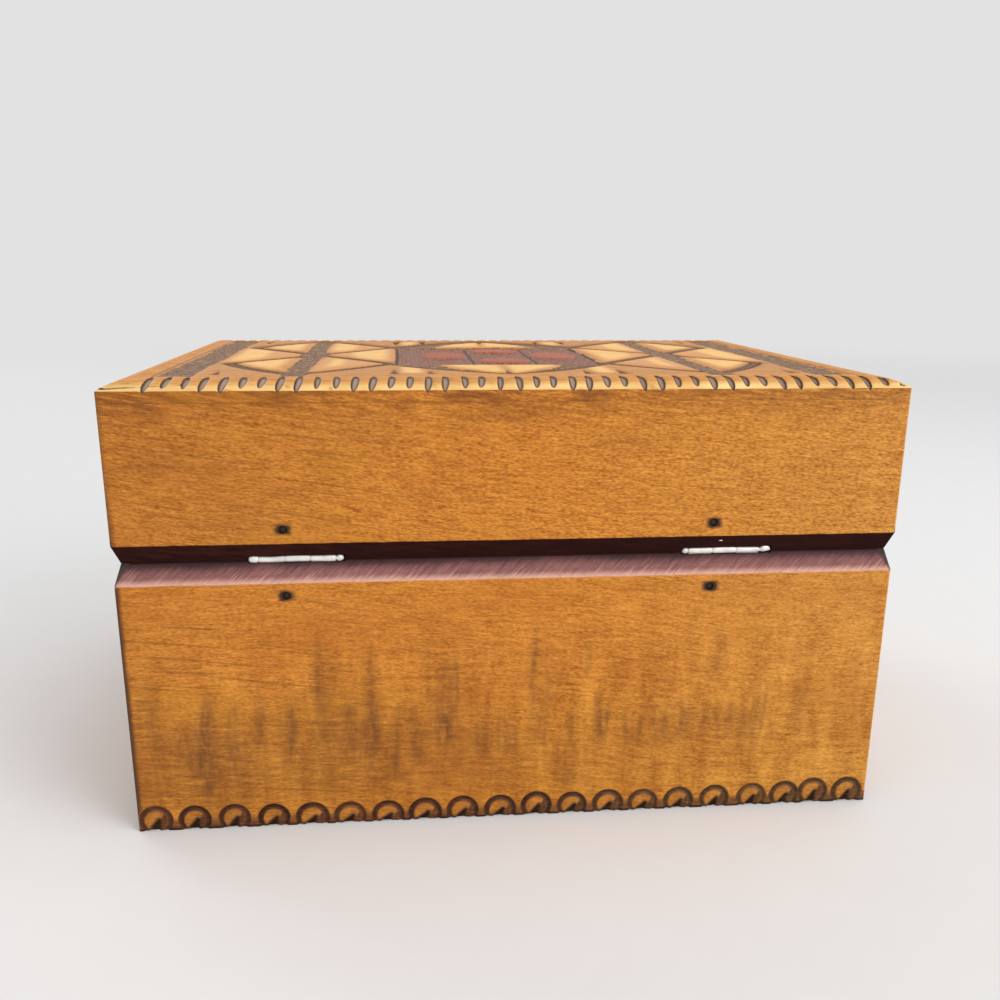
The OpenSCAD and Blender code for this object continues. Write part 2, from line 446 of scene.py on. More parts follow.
def bradStains(figure, parts, ragged, colour):
    # Dark, ragged dents round the brads of the back boards, between a circle and a square
    x, y, up = parts
    wide, tall = bradMarks["size"]
    reach = calc("MINIMUM", *(abs(x - place) for place in bradMarks["along"])) * (1.0 / wide)
    level = (abs(up - bradMarks["middle"]) - bradMarks["away"]) * (1.0 / tall)
    spread = calc("SQRT", reach * reach + level * level) * 0.4
    spread = spread + calc("MAXIMUM", reach, abs(level)) * 0.6 + ragged * 0.6
    spread = spread + figure["flecks"] * 0.3
    behind = between(y, halfDepth - 2.0, halfDepth - 1.5)
    return coats(colour, woodTones, (between(spread, 1.9, 1.35, 0.0, 0.7) * behind, "brown"),
                 (between(spread, 1.5, 1.2, 0.0, 0.9) * behind, "burnt"))


def varnishedWood(name, acrossBoard):
    # acrossBoard says that the board runs front to back, so its grain does too
    material, tree, parts = newMaterial(name)
    x, y, up = parts
    run, over = (y, x) if acrossBoard else (x, y)
    side, end = cornerInsets(parts)
    tones, figure = woodTones, honeyFigure(parts, run, over)
    lightness, even, dashes = figure["lightness"], figure["even"], figure["dashes"]
    russet = between(figure["patches"], 0.48, 0.7, 0.0, 0.3)
    golden = between(figure["patches"], 0.44, 0.28, 0.0, 0.3)
    colour = coats(tint(lightness, tones["honeyDark"], tones["honeyLight"]), tones,
                   (russet * blend(even, 1.0, 0.3), "russet"),
                   (golden * blend(even, 1.0, 0.4), "golden"))
    # The boards are painted redder and darker at +X and paler at -X, partly their own tone and partly
    # painted light and shade as the light falls from the -X side. They are also a little darker near
    # the table
    plusSideShade = between(x, 0.0, 75.0) * between(up, 50.0, 62.0, 0.3, 1.0)
    for place, tone in ((plusSideShade, "plusEndShade"), (between(x, 0.0, -75.0), "minusEndLight"),
                        (between(up, 40.0, 10.0), "foot")):
        colour = tint(place, colour, tones[tone], "MULTIPLY")
    thread = between(figure["threads"], 0.7, 0.8) * between(run, -10.0, 30.0)
    # Darker stain where the mesh marks it, and towards the lid's top
    shade = marks(tree, "shade") * between(dashes, 0.72, 0.36, 0.3, 1.2)
    strip = between(up, 80.0, 88.0) * between(dashes, 0.62, 0.36, 0.1, 0.5)
    # Curl: streaks across the grain, where the maker's board shows them
    wave = noise((run, over, up), (1.2, 9.0, 4.0), 4.0, 3.0, 0.65)
    curl = marks(tree, "curl") * between(wave, 0.28, 0.66, 0.4, 1.15)
    curl = curl * between(figure["flecks"], 0.72, 0.4, 0.75, 1.05)
    # Upright arrises: at +X a dark band, partly a dark joint and partly painted shade where the rounded
    # arris turns from the light; at -X a pale band, partly wear and partly a painted highlight, with a
    # thin dark joint line
    ragged = noise(parts, (1.5, 1.5, 5.0), 2.0)
    deep = ragged * 0.5 + calc("MAXIMUM", side, end)
    atPlus = between(x, -1.0, 1.0) * between(up, 75.0, 48.0, 0.35, 1.0)
    atMinus = between(x, 1.0, -1.0)
    glue = between(abs(up - glueHeight), 0.15, 0.04)
    parted = between(figure["blotches"] * 30.0 + run, 8.0, 26.0, 0.0, 0.35)
    # Burnt carving, more olive at -X
    burn = marks(tree, "burn") * between(figure["flecks"], 0.25, 0.75, 0.82, 1.12)
    singed = tint(between(x, 30.0, -40.0), tones["brown"], tones["olive"])
    colour = coats(colour, {**tones, "singed": singed},
                   (thread * 0.42, "thread"), (shade * 0.8, "shade"), (strip, "shade"),
                   (curl * 0.95, "curl"),
                   (between(deep, 1.75, 0.6, 0.0, 0.95) * atPlus, "arris"),
                   (between(deep, 0.75, 0.4, 0.0, 0.55) * atMinus, "worn"),
                   (between(deep, 0.34, 0.24, 0.0, 0.6) * atMinus, "arris"),
                   (glue * parted, "glue"), (between(burn, 0.02, 0.34), "tan"),
                   (between(burn, 0.3, 0.66), "singed"), (between(burn, 0.6, 0.98), "burnt"))
    if not acrossBoard:
        colour = bradStains(figure, parts, ragged, colour)
    stain, saw, nearSeam = grooveStain(figure, parts, run, over, side, end)
    inset = calc("MINIMUM", side, end)
    inGroove = between(inset - dashes * 0.08, -0.02, 0.04) * between(nearSeam, 4.75, 4.45)
    colour = tint(inGroove, colour, stain)
    # Bare wood inside
    inside = between(inset, 2.9, 3.2)
    colour = tint(inside, colour, bareWood(lightness))
    roughness = figure["flecks"] * 0.2 + inside * 0.22 + 0.36
    relief = figure["pores"] * 0.3 + dashes * 0.5 + saw * inGroove * 0.7
    gloss = between(calc("MAXIMUM", inGroove, burn * 0.85), 0.0, 1.0, 0.26, 0.04)
    finishSurface(tree, colour, roughness, relief, 0.09, gloss)
    return material


longWood = varnishedWood("honeyWoodLong", False)
shortWood = varnishedWood("honeyWoodShort", True)
print("wall finishes are mixed")

# Corners of each section as inset, height and how far its arris is softened
wallBoards = {
    "lidSection": [(1.4, seamHeight, 0.12), (0.0, seamHeight + 3.7, 0.16), (0.0, glueHeight, 0.02),
                   (8.0, glueHeight, 0.1), (8.0, seamHeight, 0.3)],
    "baseSection": [(0.0, 0.0, 0.3), (0.0, seamHeight - 4.4, 0.3), (1.4, seamHeight, 0.12),
                    (8.0, seamHeight, 0.3), (8.0, 3.0, 0.1), (4.0, 3.0, 0.1), (4.0, 0.0, 0.15)],
    "cornerRadius": 0.5, "carvedHeight": 6.6, "carvedStep": 0.25, "plainStep": 2.2,
    "lidFrom": 60.3, "lidStep": 1.3, "carvedStation": 0.26, "plainStation": 1.5,
    "cornerStations": (0.0, 0.06, 0.13, 0.21, 0.3, 0.4, 0.5, 0.7), "cornerReach": 1.0,
}

# A ring is a round groove about a centre near the lower edge. Inside it lies a slanting notch from
# the lower edge, and right of that a browner thumbnail.
scallopRow = {"pitch": 7.584, "rise": 1.35, "drift": 1.3, "ring": (2.34, 3.34), "ringDeep": 0.4,
              "notchFrom": -0.35, "notchTo": (0.6, 0.0), "notchWide": (1.05, 0.36), "notchDeep": 0.5,
              "uneven": (-0.15, 0.15), "sizes": (0.95, 1.04), "scorch": (0.72, 0.98),
              "thumbnail": (0.06, 0.2), "thumbnailBurn": (0.12, 0.46), "gapBurn": 0.5,
              "slips": {14: 0.4, 15: 0.75, 16: 1.25, 17: 1.25, 18: 0.05, 19: 0.2},
              "lifts": (1.0, 0.85, 0.7, 0.45, 0.1, 0.15, 0.0, 0.2, 0.4, 0.1, 0.7, 0.5, 0.4, 0.1, 0.4,
                        0.45, 0.5, 0.8, 1.1, 0.9)}

# Curl in the back board of the base: place along, width, lowest and highest point, strength
backCurl = [(-71.1, 1.2, 12, 31, 0.3), (-67.2, 1, 14, 24, 0.25), (-61.4, 1.7, 6, 28, 0.75),
            (-63.8, 2.6, 12, 22, 0.4), (-55.9, 1.3, 11, 28, 0.55), (-50.4, 1.2, 18, 28, 0.5),
            (-44.4, 1.5, 15, 29, 0.6), (-37.9, 2.4, 18, 37, 0.42), (-31, 3.2, 14, 26, 0.5),
            (-39.1, 0.8, 26, 40, 0.45), (-33, 0.7, 20, 27, 0.6), (-28.5, 1.1, 16, 37, 0.5),
            (-23.8, 0.8, 10, 26, 0.5), (-19.9, 1.2, 14, 26, 0.45), (-13.6, 2.2, 28, 34, 0.6),
            (-13.8, 2.5, 17, 26, 0.8), (-11.9, 0.6, 26, 38, 0.5), (-7.7, 0.8, 15, 24, 0.45),
            (-5.7, 0.8, 14, 24, 0.5), (-6.6, 1.4, 32, 38, 0.25), (-1.6, 0.9, 14, 24, 0.55),
            (0.4, 0.5, 13, 22, 0.5), (3.8, 0.8, 24, 39, 0.65), (4.2, 2, 19, 23, 0.5),
            (6.3, 0.7, 14, 32, 0.3), (10.8, 1.8, 6, 17, 0.35), (12.2, 0.9, 16, 24, 0.45),
            (-3.6, 0.6, 15, 23, 0.45), (15.1, 0.7, 31, 37, 0.45), (17.6, 1.3, 17, 26, 0.65),
            (19.2, 0.5, 16, 25, 0.5), (22.8, 0.9, 15, 23, 0.6), (26.3, 0.8, 15, 23, 0.55),
            (31.4, 0.7, 15, 24, 0.5), (28.9, 1.2, 16, 24, 0.6), (34.3, 1.6, 17, 24, 0.6),
            (41.5, 1.6, 30, 40, 0.35), (39, 0.7, 17, 24, 0.45), (42, 0.9, 16, 24, 0.5),
            (44.8, 1, 17, 24, 0.45), (47.6, 0.8, 17, 24, 0.45), (50.4, 1.2, 17, 25, 0.6),
            (51.7, 0.45, 17, 26, 0.6), (59, 1.2, 17, 28, 0.35), (28, 22, 15, 23, 0.13),
            (-45, 26, 6, 24, 0.22), (-14, 16, 6, 20, 0.18)]

# Darker stain on the back: place along, height, width, reach upwards, strength
lidShade = [(-8, 87.2, 5.5, 1.8, 0.85), (12.5, 86.8, 5.0, 1.8, 0.6), (-70, 85, 7, 3.5, 0.5),
            (-42, 88, 11, 1.6, 0.45), (1, 83.5, 9, 2.2, 0.35), (-66, 75, 9, 3, 0.35),
            (36, 87.5, 9, 1.6, 0.35), (62, 86, 8, 2.0, 0.3), (-30, 80, 8, 2.5, 0.25),
            (20, 78, 7, 2.5, 0.25), (-50, 64.5, 6, 3.0, 0.2)]
baseShade = [(-59, 14, 14, 10, 0.42), (-32, 20, 9, 12, 0.35), (-7, 12, 22, 7, 0.3),
             (-14, 28, 4, 9, 0.35), (-74, 22, 3.5, 14, 0.45), (23, 10, 18, 5, 0.22),
             (6, 33, 5, 8, 0.2), (48, 14, 10, 5, 0.15), (-38, 9, 4.5, 2.6, 0.3)]


def softSection(corners, rows, steps=3):
    # Each corner becomes the curve (1-w)^2 start + 2w(1-w) corner + w^2 end, and rows of points
    # are added where the outer face runs straight up
    spots = np.array([corner[:2] for corner in corners])
    reach = np.array([corner[2] for corner in corners])[:, None]
    ways = [np.roll(spots, turn, axis=0) - spots for turn in (1, -1)]
    start, end = (spots + way / np.linalg.norm(way, axis=1, keepdims=True) * reach for way in ways)
    w = np.linspace(0.0, 1.0, steps + 1)[None, :, None]
    loop = ((1 - w) ** 2 * start[:, None] + 2 * w * (1 - w) * spots[:, None]
            + w * w * end[:, None]).reshape(-1, 2)
    outer = loop[:, 0] < 1e-9
    last = np.flatnonzero(outer & np.roll(outer, -1))[0]
    low, high = loop[last:last + 2, 1]
    added = rows[(rows > low + 0.1) & (rows < high - 0.1)]
    return np.insert(loop, last + 1, beside(0.0, added), axis=0)


def carveScallops(along, up, half, values, back):
    # Depth of the ring row, the sum of its grooves, and its burn, the darkest of its parts
    inner, outer = values["ring"]
    count = int(round(2 * half / values["pitch"]))
    order = np.arange(count)
    centres = (order - (count - 1) / 2) * values["pitch"]
    centres = centres + values["drift"] * (np.sin(np.pi * order / (count - 1)) - 0.4)
    centres = centres + chance.uniform(*values["uneven"], count)
    rises = values["rise"] + chance.uniform(*values["uneven"], count)
    if back:
        for place, slip in values["slips"].items():
            centres[place] += slip
        rises = rises + values["lifts"]
    sizes = chance.uniform(*values["sizes"], count)
    # From the tenth ring to the sixteenth the back's burn falls by a fifth
    scorch = chance.uniform(*values["scorch"], count) * (1.0 - 0.2 * back * step(order, 9, 15))
    nearest = np.abs(along[..., None] - centres).argmin(-1)
    rise = rises[nearest]
    aside, above = (along - centres[nearest]) / sizes[nearest], (up - rise) / sizes[nearest]
    radius = np.hypot(aside, above)
    # Ring: its depth is a half round, burnt darkest a little outside its middle
    across = (radius - (inner + outer) / 2) / ((outer - inner) / 2)
    ringBurn = step(across, 1.6, 0.6) * step(across, -1.9, -0.8)
    ringBurn = ringBurn * (0.8 + 0.16 * step(across, -1.2, 0.2)) * scorch[nearest]
    # Notch: distance to a slanting line from the lower edge, whose half width shrinks upwards
    foot, top = (values["notchFrom"], -rise), values["notchTo"]
    t, away = nearLine(aside, above, foot, top)
    wide = values["notchWide"]
    notch = away - wide[0] - (wide[1] - wide[0]) * t
    right = step((aside - 0.3) * (top[1] - foot[1]) - (above + 1.0) * (top[0] - foot[0]), 0.0, 0.9)
    inside = step(radius, inner + 0.1, inner - 0.3)
    depth = values["ringDeep"] * halfRound(across) + values["notchDeep"] * step(notch, 0.25, -0.45)
    (flat, dip), (pale, brown) = values["thumbnail"], values["thumbnailBurn"]
    depth = depth + inside * (flat + dip * right)
    gap = step(radius, outer - 0.4, outer + 0.2) * step(up, 3.2, 1.2)
    # Along the lower edge the burn is darker: partly burnt wood, partly painted shadow where the box
    # meets the table
    lowEdgeBurnAndShade = step(up, 1.2, 0.3) * (0.66 + 0.2 * step(radius, inner, outer))
    # In the burn the notch goes black: partly burnt wood, partly painted shade in its recess
    burn = most(ringBurn, step(notch, 0.85, -0.5), inside * (pale + brown * right),
                values["gapBurn"] * gap, lowEdgeBurnAndShade)
    fromEnd = half - np.abs(along)
    return depth * step(fromEnd, 0.0, 0.7), burn * step(fromEnd, 0.0, 0.3)


def curlStreaks(along, up, streaks):
    # Sum of soft upright stripes, each fading at its lower and upper end
    total = np.zeros_like(along)
    for place, width, low, high, strength in streaks:
        lean = place + 0.35 * np.sin(up / 4.0 + place)
        stripe = np.exp(-((along - lean) / width) ** 2)
        total += strength * stripe * step(up, low - 3, low + 3) * step(up, high + 3, high - 3)
    return np.clip(total, 0.0, 1.0)


def shadePatches(along, up, spots):
    # Sum of soft round patches, each e^-(dx^2 + dz^2) with the distances over its own sizes
    total = np.zeros_like(along)
    for place, level, width, tall, strength in spots:
        total += strength * np.exp(-((along - place) / width) ** 2 - ((up - level) / tall) ** 2)
    return np.clip(total, 0.0, 1.0)


def makeBoard(name, side, body, material, carved):
    # The section is repeated at stations from mitre to mitre, the ends drawn in by the inset
    values, half, back = wallBoards, halves[side % 2], side == 2
    if carved:
        low = np.arange(0.45, values["carvedHeight"], values["carvedStep"])
        rows = np.concatenate([low, np.arange(low[-1] + 1.0, seamHeight, values["plainStep"])])
    else:
        rows = np.arange(values["lidFrom"], glueHeight, values["lidStep"])
    section = softSection(values["baseSection" if carved else "lidSection"], rows)
    # Stations are closer together where the upright arris is rounded
    near = np.array(values["cornerStations"])
    reach = half - values["cornerReach"]
    count = int(reach / values["carvedStation" if carved else "plainStation"])
    middle = np.linspace(-reach, reach, 2 * count + 1)
    stations = np.concatenate([near - half, middle, half - near[::-1]])[:, None] / half
    inset, up = (np.tile(column, (len(stations), 1)) for column in section.T)
    corner = values["cornerRadius"]
    fromEnd = half * (1.0 - np.abs(stations))
    weight = np.clip(1.0 - inset / (corner * (1.0 - math.cos(math.pi / 4))), 0.0, 1.0)
    weight = weight * (fromEnd < corner)
    rounded, inward = arrisRound(stations, half, fromEnd, corner)
    along = stations * (half - inset) * (1 - weight) + rounded * weight
    inset = inset + inward * weight
    burn, curl, shade = (np.zeros_like(along) for _ in range(3))
    if back:
        shade = shadePatches(along, up, baseShade if carved else lidShade)
    if carved:
        outer = (section[:, 0] < 0.31) & (section[:, 1] < values["carvedHeight"])
        depth, burn = carveScallops(along, up, half, scallopRow, back)
        inset, burn = inset + depth * outer, burn * outer
    if carved and back:
        curl = curlStreaks(along, up, backCurl) * (section[:, 0] < 0.3)
    points = toSide(side, along, inset, up).reshape(-1, 3)
    index = np.arange(len(points)).reshape(len(stations), len(section))
    ahead = np.roll(index, -1, axis=1)
    quads = beside(index[:-1], index[1:], ahead[1:], ahead[:-1]).reshape(-1, 4)
    caps = np.stack([index[0], index[-1, ::-1]])
    return newPiece(name + "_board", (points, [quads, caps]), body,
                    [name + "_wall"], [material], {"burn": burn, "curl": curl, "shade": shade})


for side, sideName in enumerate(["front", "right", "back", "left"]):
    wood = longWood if side % 2 == 0 else shortWood
    makeBoard("lid_" + sideName, side, "lid", wood, False)
    makeBoard("base_" + sideName, side, "base", wood, True)

# The kerfs start behind the groove's faces, so that only the round seats open into it
seats = {"play": 0.15, "leafWidth": 15.4, "leafReach": 9.0, "kerfFrom": {1: 0.95, -1: 1.75},
         "sheet": 0.25, "barrel": 0.65, "barrelPlay": 0.12, "bradRadius": 0.55, "bradLength": 6.05,
         "dentRadius": 0.78, "dentDeep": 0.52}
pinLow, pinHigh = (np.array(corner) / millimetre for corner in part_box("right_hinge_pin"))
pinAxis = (pinLow + pinHigh) / 2


def bars(specs):
    # One mesh of boxes and round bars, each given by its centre, its size and the axis it lies on
    shape = bmesh.new()
    for centre, size, axis in specs:
        if axis is None:
            made = bmesh.ops.create_cube(shape, size=1.0)
            bmesh.ops.scale(shape, vec=size, verts=made["verts"])
        else:
            made = bmesh.ops.create_cone(shape, cap_ends=True, segments=48, radius1=size[0],
                                         radius2=size[0], depth=size[1])
            turn = Matrix.Rotation(math.pi / 2, 3, "Y" if axis == "X" else "X")
            bmesh.ops.rotate(shape, matrix=turn, verts=made["verts"])
        bmesh.ops.translate(shape, vec=centre, verts=made["verts"])
    bmesh.ops.scale(shape, vec=(millimetre,) * 3, verts=shape.verts)
    mesh = bpy.data.meshes.new("cutter")
    shape.to_mesh(mesh)
    shape.free()
    return newObject("cutter", mesh)


def cutSeats(piece, direction, values):
    # direction is 1 for the lid's board and -1 for the base's
    play, start = values["play"], values["kerfFrom"][direction]
    tall = values["leafReach"] + play - start
    kerf = (values["leafWidth"] + 2 * play, 2 * (values["sheet"] + play), tall)
    seat = (values["barrel"] + values["barrelPlay"], pinHigh[0] - pinLow[0] + 2 * play)
    shank = (values["bradRadius"], values["bradLength"] + 1.0)
    dent = (values["dentRadius"], 2 * values["dentDeep"])
    level = bradMarks["middle"] + direction * bradMarks["away"]
    _, y, z = pinAxis
    hinges = [hand * pinAxis[0] for hand in (-1, 1)]
    cutters = [bars(group) for group in (
        [((x, y, z + direction * (start + tall / 2)), kerf, None) for x in hinges],
        [((x, y, z), seat, "X") for x in hinges],
        [((x, halfDepth - values["bradLength"] / 2 + 0.5, level), shank, "Y")
         for x in bradMarks["along"]],
        [((x, halfDepth, level), dent, "Y") for x in bradMarks["along"]])]
    for cutter in cutters:
        cut = piece.modifiers.new("seat", "BOOLEAN")
        cut.operation, cut.solver, cut.object = "DIFFERENCE", "EXACT", cutter
    bpy.context.view_layer.update()
    held = piece.evaluated_get(bpy.context.evaluated_depsgraph_get())
    mesh = bpy.data.meshes.new_from_object(held)
    piece.modifiers.clear()
    piece.data = mesh
    for cutter in cutters:
        bpy.data.objects.remove(cutter)
    print(piece.name, "seated,", len(mesh.polygons), "faces")


cutSeats(bpy.data.objects["lid_back_board"], 1, seats)
cutSeats(bpy.data.objects["base_back_board"], -1, seats)

# Lattice, in the front right quarter of the lid and mirrored to the others. Places are measured
# from the middle: x to the right, y towards the scored line that runs round the carving. The lines
# were set out a little off the middle, towards the front. Each runs between two of the places.
lattice = {
    "scored": 8.0, "grid": (280, 200),
    "side": (42.0, 48.2), "hub": (42.0, 0.0), "outer": (58.3, 22.6), "inner": (23.5, 24.5),
    "tip": (0.0, 48.2), "shift": 3.0, "shrink": (0.955, 0.93), "bandHalf": 2.2, "hubSpread": 1.0,
    "lines": (("side", "outer", 1.7), ("outer", "hub", -0.7), ("hub", "inner", 0.6),
              ("inner", "side", 0.7), ("tip", "inner", 2.4)),
    "petalTip": (0.0, 43.0), "petalFoot": (12.6, 25.0), "petalBow": 1.9,
    "border": (61.0, 67.3), "panel": (22.8, 24.4), "flowerShift": -1.6,
    "chipTriangles": ((22.9, 33.5, 1.25), (15.6, 35.5, 1.05), (57.2, 36.0, 1.05)), "chipFoot": 45.6,
    "underRows": (1.5, 4.0, 9.0),
    "lineReach": 1.45, "lineDeep": 0.42, "bandDeep": 0.42, "borderDeep": 0.36, "panelDeep": 0.55,
    "railDeep": 0.75, "chipDeep": 0.85, "pillow": 0.26, "scoreDeep": 0.3, "wobble": 0.22,
}

rimCuts = {"pitch": 3.38, "halfWidth": 0.72, "deep": 0.6, "longFrom": -0.3, "shortFrom": 0.55,
           "leafPlaces": (0.0, 0.05, 0.14, 0.26, 0.42, 0.6, 0.78, 0.9, 0.97, 1.0),
           "leafWidths": (0.0, 0.48, 0.8, 0.97, 1.0, 0.94, 0.78, 0.58, 0.32, 0.0),
           "pattern": (1, 0, 0, 1), "run": 6.0, "drop": 1.8, "corner": 0.5,
           "rows": (7.62, 7.3, 6.9, 6.45, 6.0, 5.5, 5.0, 4.5, 4.0, 3.5, 3.05, 2.6, 2.2, 1.8, 1.45,
                    1.1, 0.8, 0.5, 0.25, 0.08, 0.0),
           "edgeRows": (0.25, 0.6, 1.1, 1.7), "sway": 0.22, "endGap": 1.5, "softEdge": 0.1,
           "unevenPlace": (-0.16, 0.16), "unevenLow": (-0.15, 0.15), "unevenHigh": (0, 0.3),
           "widths": (0.88, 1.1), "leans": (-0.05, 0.05), "leanMiddle": 0.02, "depths": (0.85, 1.1),
           "creaseWide": 0.24, "creaseDeep": 0.22,
           "creases": [((-76.2, 0.7), (-60.0, 1.9)), ((-76.2, 2.2), (-67.0, 2.9))]}


def bowedLine(x, y, start, end, bow):
    # Signed distance to a shallow curve that stands off by 4 * bow * t(1-t) to the left of the
    # straight line from start to end, and the length along that line
    dx, dy = end[0] - start[0], end[1] - start[1]
    length = math.hypot(dx, dy)
    t = ((x - start[0]) * dx + (y - start[1]) * dy) / length ** 2
    held = np.clip(t, 0.0, 1.0)
    left = ((y - start[1]) * dx - (x - start[0]) * dy) / length
    slope = 4 * bow * (1 - 2 * held) / length
    off = (left - 4 * bow * held * (1 - held)) / np.sqrt(1 + slope ** 2)
    over = np.maximum(np.abs(t - 0.5) - 0.5, 0.0) * length
    return np.where(off < 0, -1.0, 1.0) * np.hypot(off, over), held * length


def roundedBox(x, y, sides, power=2.4):
    # (|x|^n + |y|^n)^(1/n) - 1 with the distances over the two half sides
    return (np.abs(x / sides[0]) ** power + np.abs(y / sides[1]) ** power) ** (1 / power) - 1.0


def carveField(x, y, values):
    # All zones of the lid's field as signed distances, negative inside, and the depth they are cut to
    waver, limit = values["wobble"], halfDepth - values["scored"]
    (panelX, panelY), (borderLow, borderHigh) = values["panel"], values["border"]
    flowerX = x - values["flowerShift"]
    x = x + waver * np.sin(y / 9.0 + 1.3) + 0.6 * waver * np.sin(x / 5.3 + y / 13.0)
    y = y + waver * np.sin(x / 8.0 + 0.4) + 0.6 * waver * np.sin(y / 4.7 - x / 11.0)
    fx, plainY, fy = np.abs(x), np.abs(y), y + values["shift"]
    fy = np.abs(fy) / np.where(fy > 0, *values["shrink"])
    lines = [bowedLine(fx, fy, values[start], values[end], bow) for start, end, bow in values["lines"]]
    curves, lengths = (np.stack(group) for group in zip(*lines))
    nearest = np.abs(curves).argmin(0)[None]
    aside, alongLine = (np.take_along_axis(group, nearest, 0)[0] for group in (curves, lengths))
    sideward, outward, inward, backward, tipward = curves
    # Stippled ground: upright band, border band, and the panel with the wings beside its petals
    hub = values["bandHalf"] + values["hubSpread"] * np.exp(-(fy / 6.0) ** 2)
    edge, back = values["side"][0] + hub, values["side"][0] - hub
    ends = plainY - limit + 0.6
    band = most(np.abs(fx - values["side"][0]) - hub, ends)
    border = most(np.abs(fx - (borderLow + borderHigh) / 2) - (borderHigh - borderLow) / 2, ends)
    panel = most(fx - panelX, plainY - panelY)
    petalArc = bowedLine(fx, plainY, values["petalTip"], values["petalFoot"], values["petalBow"])[0]
    wing = most(tipward + 0.9, panelY - plainY - 0.2, 0.6 - petalArc)
    stipple = least(band, border, panel, wing)
    # Pale raised leaves
    leaf = smoothMost(3.0, sideward + 2.0, outward + 1.9, edge + 1.4 - fx)
    stripSides = smoothMost(2.0, fx - back + 1.2, back - 8.0 - fx)
    strip = smoothMost(3.0, inward + 1.9, backward + 1.9, stripSides) + 1.4 * (y > 0)
    gapOuter = smoothMost(3.0, 1.9 - outward, 52.0 - fx, fx - borderLow + 1.5, fy - 23.0)
    gapInner = smoothMost(2.5, 1.9 - inward, fx - 33.5, panelX + 1.5 - fx)
    petal = smoothMost(0.8, smoothMost(1.2, petalArc + 0.3, panelY + 1.0 - plainY), 0.4 - fx)
    lobe = smoothMost(2.5, np.abs(fx - 19.3) - 2.4, np.abs(plainY - 36.6) - 7.4)
    lobe = smoothMost(1.5, lobe, smoothMost(0.5, 1.5 - tipward, 1.5 - backward))
    pale = least(leaf, strip, gapOuter, gapInner, petal, lobe)
    # Blush: the rest of the cells that hold a pale part
    blush = least(most(inward + 1.2, backward + 1.2, fx - back + 0.6),
                  most(1.2 - outward, edge + 0.6 - fx, fx - borderLow + 0.6, fy - 24.0),
                  most(1.2 - inward, fx - back + 0.6, panelX + 0.8 - fx))
    # Hatched orange triangles along the scored line
    hatch = least(most(1.1 - tipward, 1.1 - backward, fx - 40.5, ends + 0.2),
                  most(1.1 - sideward, fx - borderLow + 0.6, ends + 0.2))
    # Chips: tall triangles that taper away from the scored line, and the notch between two petals
    foot = values["chipFoot"]
    chips = least(*(most(np.abs(fx - spot) - wide * (plainY - top) / (foot - top),
                         plainY - foot, top - plainY) for spot, top, wide in values["chipTriangles"]))
    chips = least(chips, most(fx - 0.75 * (plainY - 34.5) / 8.0, plainY - 42.5, 34.5 - plainY))
    # Flower of four raised petals in the panel, with dark lines beside the upright pair
    ax, ay = np.abs(flowerX), np.abs(y + 0.6)
    petals = least(roundedBox(ax - 13.0, ay, (5.4, 9.8)) * 5.0,
                   roundedBox(ax, ay - 13.6, (6.1, 5.8)) * 6.0)
    rails = least(most(np.abs(fx - panelX + 0.3) - 0.4, fy - panelY),
                  most(np.abs(ax - 7.0) - 0.35, ay - 20.0))
    # Depth: grooves are round bottomed, grounds are sunk with soft walls, raised cells are pillowed
    depth = most(values["lineDeep"] * halfRound(aside / values["lineReach"]),
                 values["bandDeep"] * step(least(band, wing), 0.25, -0.35),
                 values["borderDeep"] * step(border, 0.25, -0.35),
                 values["panelDeep"] * step(panel, 0.25, -0.35))
    depth = np.where(panel < 0, depth * (1 - 0.8 * step(petals, 0.15, -1.0)), depth)
    depth = most(depth, values["railDeep"] * step(rails, 0.3, -0.3) * (panel < 0.3))
    # Beside the lines the raised cells fall away like pillows, by e^-(distance / reach)^2
    fromLine = np.clip(np.abs(aside) - values["lineReach"] + 0.1, 0.0, None)
    falling = most(np.exp(-(fromLine / 1.3) ** 2), np.exp(-(np.clip(stipple, 0.0, None) / 1.1) ** 2))
    depth = depth + values["pillow"] * falling * (stipple > 0) * (depth < 0.3)
    depth = most(depth, values["chipDeep"] * step(chips, 0.35, -0.75))
    return {"aside": aside, "alongLine": alongLine, "stipple": stipple, "pale": pale, "blush": blush,
            "hatch": hatch, "chip": chips, "petals": np.where(panel < 0, petals, 9.0),
            "rails": np.where(panel < 0.3, rails, 9.0), "depth": depth}


def loopAround(inset, up, segments):
    # One closed row of points round the lid at an inset, from the front left corner to the right
    wide, deep = halfWidth - inset, halfDepth - inset
    s, t = (np.linspace(-1, 1, count, endpoint=False) for count in segments)
    x = np.concatenate([s * wide, np.full(len(t), wide), -s * wide, np.full(len(t), -wide)])
    y = np.concatenate([np.full(len(s), -deep), t * deep, np.full(len(s), deep), -t * deep])
    return beside(x, y, up)


def gridPoints(inset, up, segments):
    # Evenly spaced rows and columns over the lid, drawn in from its edges by the inset
    x, y = np.meshgrid(*(np.linspace(inset - half, half - inset, count + 1)
                         for half, count in zip(halves, segments)))
    return beside(x, y, up)


def gridRing(index):
    # The border of a grid of vertex numbers, in the order of loopAround
    return np.concatenate([index[0, :-1], index[:-1, -1], index[-1, :0:-1], index[:0:-1, 0]])


def ringFaces(first, second):
    # Faces between two closed rows; where one has half as many points, each face takes five
    few = min(len(first), len(second))
    near, far = first[::len(first) // few], second[::len(second) // few]
    corners = [near, far, np.roll(far, -1), np.roll(near, -1)]
    if len(second) > few:
        corners.insert(2, second[1::2])
    if len(first) > few:
        corners.append(first[1::2])
    return beside(*corners)


